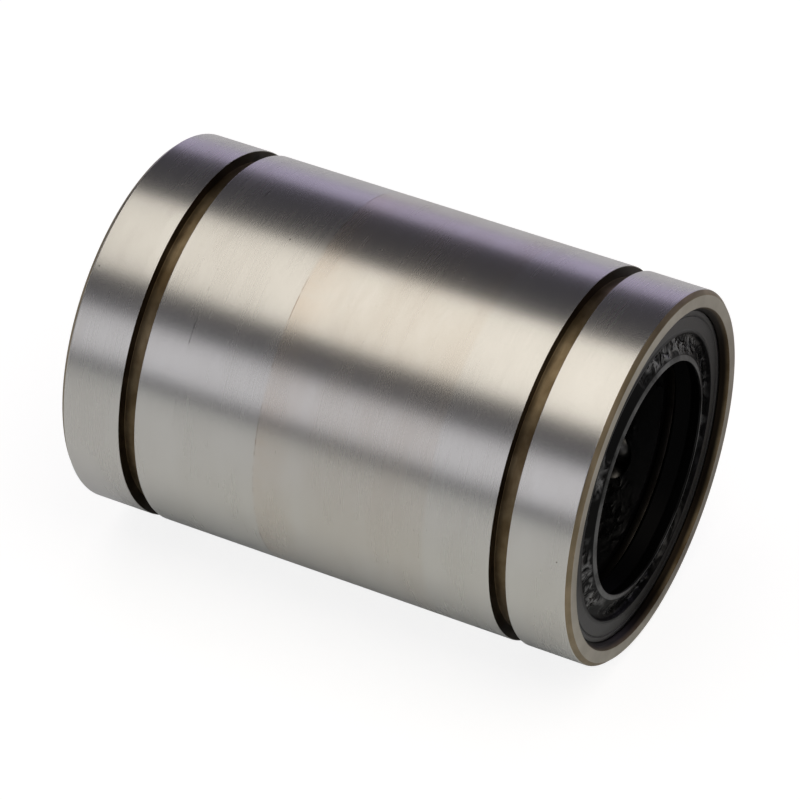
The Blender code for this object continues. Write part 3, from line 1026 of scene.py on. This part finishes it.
def greased_rubber():
    """Moulded nitrile rubber: black and dimly glossy, with wet grease in its trough."""
    material, tree, shader = new_material("greased_nitrile_rubber")
    radius = radius_of(tree)
    land = land_wear_and_highlight(tree)
    flange = add_node(tree, "MapRange", (
        radius, (FLANGE_RADIUS - FLANGE_SOFTNESS) * MM, (FLANGE_RADIUS + FLANGE_SOFTNESS) * MM, 0, 1,
    ))
    within = add_node(tree, "MapRange", (
        radius, (DULL_RADIUS + DULL_SOFTNESS) * MM, (DULL_RADIUS - DULL_SOFTNESS) * MM, 0, 1,
    ))
    behind = add_node(tree, "MapRange", (
        depth_of(tree), (DULL_DEPTH + DULL_SOFTNESS) * MM, (DULL_DEPTH - DULL_SOFTNESS) * MM, 0, 1,
    ))
    # Behind the lip the rubber is dull, and darker in colour as painted shade.
    inside = add_node(tree, "Math", (within, behind), operation="MULTIPLY")
    trough = soft_band(tree, radius, TROUGH_RADIUS, TROUGH_HALF_WIDTH, TROUGH_SOFTNESS)
    grease, shine, lumps = grease_film(tree, trough)
    tone = linear("#080808")
    # The land's grey is partly wear and partly a painted highlight.
    for amount, colour in ((land, "#505151"), (inside, "#050505")):
        tone = add_node(tree, "Mix", {"Factor": amount, "A": tone, "B": linear(colour)}, "Result",
                        data_type="RGBA")
    tree.links.new(tone, shader.inputs["Base Color"])
    rough = 0.36
    for amount, value in ((grease, 0.09), (land, 0.34), (inside, 0.50)):
        rough = add_node(tree, "Mix", {"Factor": amount, "A": rough, "B": value}, "Result")
    tree.links.new(rough, shader.inputs["Roughness"])
    level = 0.04
    for amount, value in ((flange, 0.55), (land, 0.40), (shine, 1.0)):
        level = add_node(tree, "Mix", {"Factor": amount, "A": level, "B": value}, "Result")
    tree.links.new(level, shader.inputs["Specular IOR Level"])
    strength = add_node(tree, "MapRange", (grease, 0, 1, 0.02, 1.0))
    bump = add_node(tree, "Bump", {"Strength": strength, "Distance": GREASE_HEIGHT * MM, "Height": lumps})
    tree.links.new(bump, shader.inputs["Normal"])
    shader.inputs["IOR"].default_value = 1.52
    return material


rubber = greased_rubber()
for seal in (front_seal, rear_seal):
    seal.data.materials.append(rubber)
print("rubber on the front and the rear seal, greased at radius", TROUGH_RADIUS, "mm")

# %% [markdown]
# ## The cage's resin
# The cage is injection moulded from black acetal. The mould's fine grain makes it a soft matt, and the
# side that faces the shaft carries a film of grease. The picture looks into the bore, where only the
# film's lumps catch some light.

# %% Moulded resin
MOULD_GRAIN_SIZE = (0.4, 0.4, 0.4)
FILM_RADIUS = (13.2, 13.0)
FILM_SMOOTHING = -0.22
FILM_STRENGTH = 0.6
FILM_HEIGHT = 0.4


def moulded_resin():
    """Injection-moulded acetal: black and matt, wet with grease toward the shaft."""
    material, tree, shader = new_material("moulded_acetal_resin")
    shader.inputs["Base Color"].default_value = linear("#080808")
    grain = add_node(tree, "TexNoise", {
        "Vector": pattern_space(tree, MOULD_GRAIN_SIZE), "Scale": 1.0, "Detail": 2.0,
    }, "Fac")
    film_radius = [edge * MM for edge in FILM_RADIUS]
    shaft_side = add_node(tree, "MapRange", (radius_of(tree), *film_radius, 0, 1))
    grease, shine, lumps = grease_film(tree, shaft_side)
    dry = add_node(tree, "MapRange", (grain, 0.3, 0.7, 0.38, 0.50))
    wet = add_node(tree, "Math", (shine, FILM_SMOOTHING), operation="MULTIPLY")
    rough = add_node(tree, "Math", (dry, wet), operation="ADD")
    tree.links.new(rough, shader.inputs["Roughness"])
    strength = add_node(tree, "Math", (grease, FILM_STRENGTH), operation="MULTIPLY")
    bump = add_node(tree, "Bump", {"Strength": strength, "Distance": FILM_HEIGHT * MM, "Height": lumps})
    tree.links.new(bump, shader.inputs["Normal"])
    return material


cage.data.materials.append(moulded_resin())
print("resin on the cage, in", len(cage.data.polygons), "faces")

# %% [markdown]
# ## Steel in the dark
# The side rings are stamped from steel that is blackened against rust. The balls are polished, but in
# here they are coated with oil and grease. Both are given a dark colour that is partly oil and partly
# painted shade, as they lie deep in the bore. Both are metal whose colour and gloss drift slowly over
# the surface, as a film of oil makes them.

# %% Steel of the balls and side rings
OIL_SIZE = (2.5, 2.5, 2.5)


def oiled_and_shaded_steel(name, first, second, smoothest, roughest):
    """Dark steel under a film of oil, its colour partly painted shade: a dim shine that drifts from place
    to place.
    """
    material, tree, shader = new_material(name)
    cloud = add_node(tree, "TexNoise", {
        "Vector": pattern_space(tree, OIL_SIZE), "Scale": 1.0, "Detail": 2.0,
    }, "Fac")
    thicker = add_node(tree, "MapRange", (cloud, 0.3, 0.7, 0, 1))
    tone = add_node(tree, "Mix", {"Factor": thicker, "A": linear(first), "B": linear(second)}, "Result",
                    data_type="RGBA")
    tree.links.new(tone, shader.inputs["Base Color"])
    shader.inputs["Metallic"].default_value = 1.0
    rough = add_node(tree, "MapRange", (cloud, 0.3, 0.7, smoothest, roughest))
    tree.links.new(rough, shader.inputs["Roughness"])
    return material


# The rings' and balls' dark colours are partly oil and partly painted shade.
shaded_ring_steel = oiled_and_shaded_steel("blackened_and_shaded_steel", "#3a3733", "#26231f", 0.36, 0.52)
for ring in (front_ring, rear_ring):
    ring.data.materials.append(shaded_ring_steel)
ball_steel = oiled_and_shaded_steel("oiled_and_shaded_ball_steel", "#565553", "#434240", 0.34, 0.44)
for string in strings:
    string.data.materials.append(ball_steel)
print("steel on", len(strings), "strings and two side rings")

# %% [markdown]
# ## The frame's size
# The dressed bearing has to be the size of the frame. The frame's box is printed.

# %% Frame size
print("frame box", [[round(v / MM, 2) for v in corner] for corner in cad_box])
